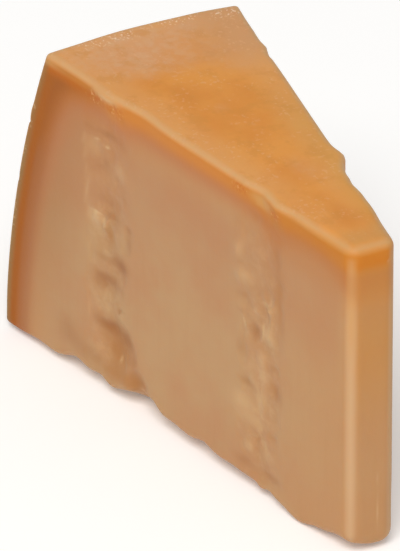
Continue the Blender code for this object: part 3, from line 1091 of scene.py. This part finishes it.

# %% Torn paste: painted shade in hollows, painted light on lumps, and marks
# Warm and pale tones, laid at random over the curd, and also used as painted shade in hollows and
# painted light on lumps
WARM_SHADE_AND_TONE = "ab7747"
PALE_LIGHT_AND_TONE = "cfaa7c"
WARM_MARK_AND_SHADE = "9b643b"
AMBER = "a86e38"
GOLD = "c89152"
paste = lay_glazes(
    paste,
    (
        (WARM_SHADE_AND_TONE, 0.22, ("curd", 0.35, 0.55), ("torn", 1.0, 0.0)),
        (PALE_LIGHT_AND_TONE, 0.25, ("curd", 0.68, 0.5), ("torn", 1.0, 0.0)),
        # Painted shade: warmer and darker in the hollows of the crags
        (WARM_SHADE_AND_TONE, 0.6, ("hollow", 2.0, 0.1)),
        # Painted light: paler on the lumps that stand proud
        (PALE_LIGHT_AND_TONE, 0.4, ("hollow", -1.3, 0.0)),
        # Pale edges of the cut faces, partly worn and partly a painted highlight
        ("cda880", 0.7, ("from_edge", 1.0, 3.4), ("behind_heel", 30.0, 14.0)),
    ),
)
print("torn paste is", WARM_SHADE_AND_TONE, "in hollows and", PALE_LIGHT_AND_TONE, "on lumps")

# %% Dried paste towards the rind
RIM = "c87e36"
HEEL_RIM = "9c540c"

# Pairs of fades that leave only a band: one ends it further in, and the other towards the rind
UNDER_THE_RIM = (("under_plate", 22.0, 12.0), ("under_plate", 28.0, 60.0))
UNDER_THE_END_RIM = (("under_plate", 14.0, 24.0), ("under_plate", 10.0, 6.0))
UNDER_THE_TIP_RIM = (("under_plate", 14.0, 22.0), ("under_plate", 11.0, 7.0))
BEHIND_THE_HEEL_RIM = (("behind_heel", 10.0, 14.0), ("behind_heel", 8.0, 5.5))
paste = lay_glazes(
    paste,
    (
        ("bb804f", 0.6, ("in_rind", 7.0, 24.0)),
        ("9b724a", 0.45, ("behind_heel", 12.0, 44.0), ("under_plate", 50.0, 110.0)),
        ("b27751", 0.3, *UNDER_THE_RIM, ("behind_tip", 8.0, 3.0)),
        ("b77245", 0.8, ("in_rind", 5.5, 13.0)),
        (RIM, 1.0, ("in_rind", 3.2, 8.5)),
        ("ba721b", 0.5, ("in_rind", 4.0, 14.0), ("behind_tip", 20.0, 70.0)),
        (HEEL_RIM, 0.9, ("in_rind", 4.0, 9.0), ("behind_heel", 9.0, 42.0)),
        ("8d552c", 0.2, ("behind_heel", 9.0, 5.0), ("behind_heel", 11.0, 17.0)),
        ("bb6510", 0.85, ("under_plate", 3.5, 8.0), ("behind_heel", 14.0, 30.0)),
        ("91774a", 0.8, ("behind_heel", 1.0, 4.6), ("under_plate", 40.0, 20.0)),
        ("966f3c", 0.8, ("behind_heel", 1.0, 4.6), ("under_plate", 20.0, 40.0)),
        ("c87c2c", 0.7, ("in_rind", 2.0, 8.5), ("behind_tip", 1.0, 4.0)),
        ("c8741c", 0.4, ("behind_tip", 1.0, 3.0), ("from_edge", 4.6, 1.4), ("end_rim", 1.1, 0.0)),
        ("c6863f", 0.65, ("behind_tip", 1.0, 3.0), *UNDER_THE_END_RIM),
        # Pale upright edges near the point, partly worn and partly a painted highlight
        ("ca9862", 0.85, ("from_edge", 0.8, 3.2), ("behind_tip", 4.0, 9.0), ("end_edges", 0.9, 0.0)),
        # A painted highlight along the end face's edge at the back
        ("b48a5e", 0.7, ("from_edge", 0.8, 3.4), ("behind_tip", 1.5, 4.0), ("towards_back", 0.9, 0.2)),
        ("b47646", 0.35, *UNDER_THE_TIP_RIM, ("behind_tip", 30.0, 60.0)),
        ("9d6640", 0.4, *BEHIND_THE_HEEL_RIM, ("under_plate", 40.0, 25.0)),
        # Pale line under the plate's edge, partly worn and partly a painted highlight
        ("d5a56a", 0.5, ("under_plate", 1.4, 3.6), ("behind_tip", 16.0, 40.0)),
        ("cc9246", 0.35, ("under_plate", 2.4, 4.6), ("behind_heel", 14.0, 40.0)),
        # Pale line under the plate's edge near the heel, partly worn and partly a painted highlight
        ("d0a068", 0.35, ("under_plate", 2.6, 5.0), ("behind_heel", 2.0, 14.0)),
        # Marks: partly the paste's own colour, partly painted shade where warm and painted highlights
        # where pale
        (WARM_MARK_AND_SHADE, 0.9, ("mark", -2.2, 0.0)),
        (PALE_LIGHT_AND_TONE, 0.9, ("mark", 1.8, 0.0)),
        (AMBER, 0.9, ("amber", 1.0, 0.0)),
        (GOLD, 0.9, ("amber", -1.0, 0.0)),
        ("b85a20", 0.4, ("crumbly", 1.0, 0.1), ("crumb_grain", 0.36, 0.54)),
        ("e6b07c", 0.4, ("crumbly", 0.9, 0.2), ("crumb_grain", 0.7, 0.6)),
    ),
)
print("the rim under the plate is", RIM, "and behind the heel", HEEL_RIM)

# %% The plate's own skin
PLATE = "de9649"
GLINT = "f2d8ba"
skin = lay_glazes(
    linear(PLATE),
    (
        ("d68a3f", 0.8, ("skin_clouds", 0.62, 0.4)),
        ("cf843b", 0.8, ("bloom", -1.0, 0.0)),
        ("dda266", 0.55, ("from_edge", 3.0, 15.0), ("behind_tip", 70.0, -20.0)),
        ("d4a176", 0.65, ("bloom", 1.1, 0.0)),
        ("d5a67e", 0.5, ("bloom", 1.0, 0.0), ("bloom_grain", 0.66, 0.38)),
        ("ca8840", 0.35, ("mottling", 0.35, 0.5)),
        # Painted shade: the plate darker towards its back edge, away from the heel
        ("c49244", 0.4, ("towards_back", 0.95, 0.2), ("behind_heel", 80.0, 35.0)),
        ("c4956e", 0.6, ("towards_back", 0.8, 0.1), ("behind_heel", 20.0, 50.0)),
        ("e2ae84", 0.3, ("flecks", 0.66, 0.56), ("flecked_areas", 0.58, 0.46)),
        ("ca9254", 0.6, ("behind_tip", 6.0, 14.0)),
        ("cb9a62", 0.5, ("behind_tip", 6.0, 16.0), ("towards_back", 0.9, 0.2)),
        # Painted glints: small highlights painted along the heel's arc
        (GLINT, 0.65, ("glints", 0.66, 0.58), ("near_arc", 1.0, 0.1), ("flecked_areas", 0.47, 0.35)),
        # Pale rim of the plate, partly worn and partly a painted highlight
        ("c79f70", 0.7, ("from_edge", 0.5, 3.2)),
    ),
)
print("the plate is mixed from", PLATE)

# %% [markdown]
# The heel has the hard, dull rind of the wheel's round side. Along its front edge a few dark and
# pale specks are left. The rind and the plate's skin cover the paste like two last glazes, each with
# a border a millimetre or two wide.

# %% The heel's rind
RIND = "bd8749"
DARK_SPECK = "5c3428"
PALE_SPECK = "d4b48a"
rind = lay_glazes(
    linear(RIND),
    (
        ("a56d38", 0.6, ("rind_grain", 0.35, 0.6)),
        ("c89a63", 0.5, ("skin_clouds", 0.65, 0.45)),
        ("96663a", 0.35, ("mottling", 0.36, 0.5)),
        # A painted highlight on the rind's rounded edges
        ("cb9b66", 0.5, ("from_edge", 0.5, 3.0)),
    ),
)
print("the heel's rind is mixed from", RIND)

# %% Rind, specks and plate over the paste
colour = lay_glazes(
    paste,
    (
        (rind, 1.0, ("behind_heel", 0.4, 1.6)),
        (DARK_SPECK, 0.6, ("flecks", 0.4, 0.46), ("mottling", 0.41, 0.46), ("heel_line", 0.9, 0.4)),
        (PALE_SPECK, 0.4, ("flecks", 0.6, 0.54), ("mottling", 0.6, 0.55), ("heel_line", 0.8, 0.3)),
        (skin, 1.0, ("under_plate", 0.6, 2.4)),
    ),
)
tree.links.new(colour, shader.inputs["Base Color"])
print("the material has", len(tree.nodes), "nodes")

# %% Gloss and depth of the light
# Milk fat has an IOR of about 1.45, and a cut through dry paste keeps little of its gloss
LIGHT_DEPTH = 3.0
FINISH = {
    "Roughness": 0.42,
    "IOR": 1.45,
    "Specular IOR Level": 0.1,
    "Subsurface Weight": 0.3,
    "Subsurface Radius": (1.0, 0.5, 0.25),
    "Subsurface Scale": LIGHT_DEPTH * MM,
}
for name, value in FINISH.items():
    shader.inputs[name].default_value = value
print("light goes", LIGHT_DEPTH, "mm in, and red light the furthest")

# %% Fine grain of the surface
# The real grain is finer than the render shows, so it is drawn coarse enough to soften the gloss
GRAIN_HEIGHT = 0.2
GRAIN_STRENGTH = 0.3
inputs = {"Height": sources["grain"], "Strength": GRAIN_STRENGTH, "Distance": GRAIN_HEIGHT * MM}
bump = add_node(tree, "ShaderNodeBump", inputs).outputs["Normal"]
tree.links.new(bump, shader.inputs["Normal"])
wedge.data.materials.clear()
wedge.data.materials.append(cheese)
print("materials:", [material.name for material in wedge.data.materials])

# %% The wedge stands for the solid
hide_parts("cheese_wedge")
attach(wedge, "root")
print("pieces:", wedge.name)

# %% [markdown]
# ## A pale floor and soft light
#
# The piece was photographed in soft, bright studio light on white. One big soft light stands in
# front and a little to the left, about 50 degrees up, and a white world fills the shadows. The
# floor glows a little, so that it comes out almost white.

# %% Floor
FLOOR_SIZE = 12.0
FLOOR_COLOUR = "f6f5f3"
FLOOR_ROUGHNESS = 0.9
FLOOR_GLOW = 0.16
bpy.ops.object.select_all(action="DESELECT")
bpy.ops.mesh.primitive_plane_add(size=FLOOR_SIZE, location=(0, 0, 0))
floor = bpy.context.object
floor.name = "pale_floor"
floor_material = bpy.data.materials.new("white_paper")
floor_material.use_nodes = True
floor_shader = floor_material.node_tree.nodes["Principled BSDF"]
floor_shader.inputs["Base Color"].default_value = linear(FLOOR_COLOUR)
floor_shader.inputs["Roughness"].default_value = FLOOR_ROUGHNESS
floor_shader.inputs["Emission Color"].default_value = linear(WHITE)
floor_shader.inputs["Emission Strength"].default_value = FLOOR_GLOW
floor.data.materials.append(floor_material)
print("floor:", FLOOR_SIZE, "m wide")

# %% Light
KEY_AZIMUTH = math.radians(-40)
KEY_HEIGHT = math.radians(52)
KEY_DISTANCE = 5.0
KEY_SIZE = 2.4
KEY_POWER = 178
WORLD_STRENGTH = 0.42
key_direction = Vector(
    (
        math.cos(KEY_HEIGHT) * math.cos(KEY_AZIMUTH),
        math.cos(KEY_HEIGHT) * math.sin(KEY_AZIMUTH),
        math.sin(KEY_HEIGHT),
    )
)
key = bpy.data.lights.new("key", "AREA")
key.shape = "SQUARE"
key.size = KEY_SIZE
key.energy = KEY_POWER
key_object = bpy.data.objects.new("key", key)
key_object.location = key_direction * KEY_DISTANCE
key_object.rotation_euler = key_direction.to_track_quat("Z", "Y").to_euler()
bpy.context.scene.collection.objects.link(key_object)

world = bpy.data.worlds.new("studio")
world.use_nodes = True
background = world.node_tree.nodes["Background"]
background.inputs["Color"].default_value = linear(WHITE)
background.inputs["Strength"].default_value = WORLD_STRENGTH
bpy.context.scene.world = world
bpy.context.scene.view_settings.view_transform = "Standard"
print("key light at", [round(value, 2) for value in key_object.location])

# %% [markdown]
# ## The camera
#
# The upright edges of the wedge stay almost parallel in the photograph, so the camera was far away
# with a long lens. It stands four metres off and looks down by 30 degrees.

# %% Camera
CAMERA_AZIMUTH = math.radians(62.3)
CAMERA_HEIGHT = math.radians(30.24)
CAMERA_DISTANCE = 4.0
CAMERA_REACH = 100
CAMERA_TARGET = Vector((-24.08, 0.0, 39.67)) * MM
PIXELS_PER_MM = 3.2396
IMAGE_HEIGHT = 551
SENSOR = 36.0

camera_direction = Vector(
    (
        math.sin(CAMERA_AZIMUTH) * math.cos(CAMERA_HEIGHT),
        -math.cos(CAMERA_AZIMUTH) * math.cos(CAMERA_HEIGHT),
        math.sin(CAMERA_HEIGHT),
    )
)
camera = bpy.data.cameras.new("camera")
camera.sensor_width = SENSOR
camera.lens = SENSOR * PIXELS_PER_MM * CAMERA_DISTANCE / MM / IMAGE_HEIGHT
camera.clip_end = CAMERA_REACH
camera_object = bpy.data.objects.new("camera", camera)
camera_object.location = CAMERA_TARGET + camera_direction * CAMERA_DISTANCE
camera_object.rotation_euler = camera_direction.to_track_quat("Z", "Y").to_euler()
bpy.context.scene.collection.objects.link(camera_object)
bpy.context.scene.camera = camera_object
print("lens:", round(camera.lens), "mm")
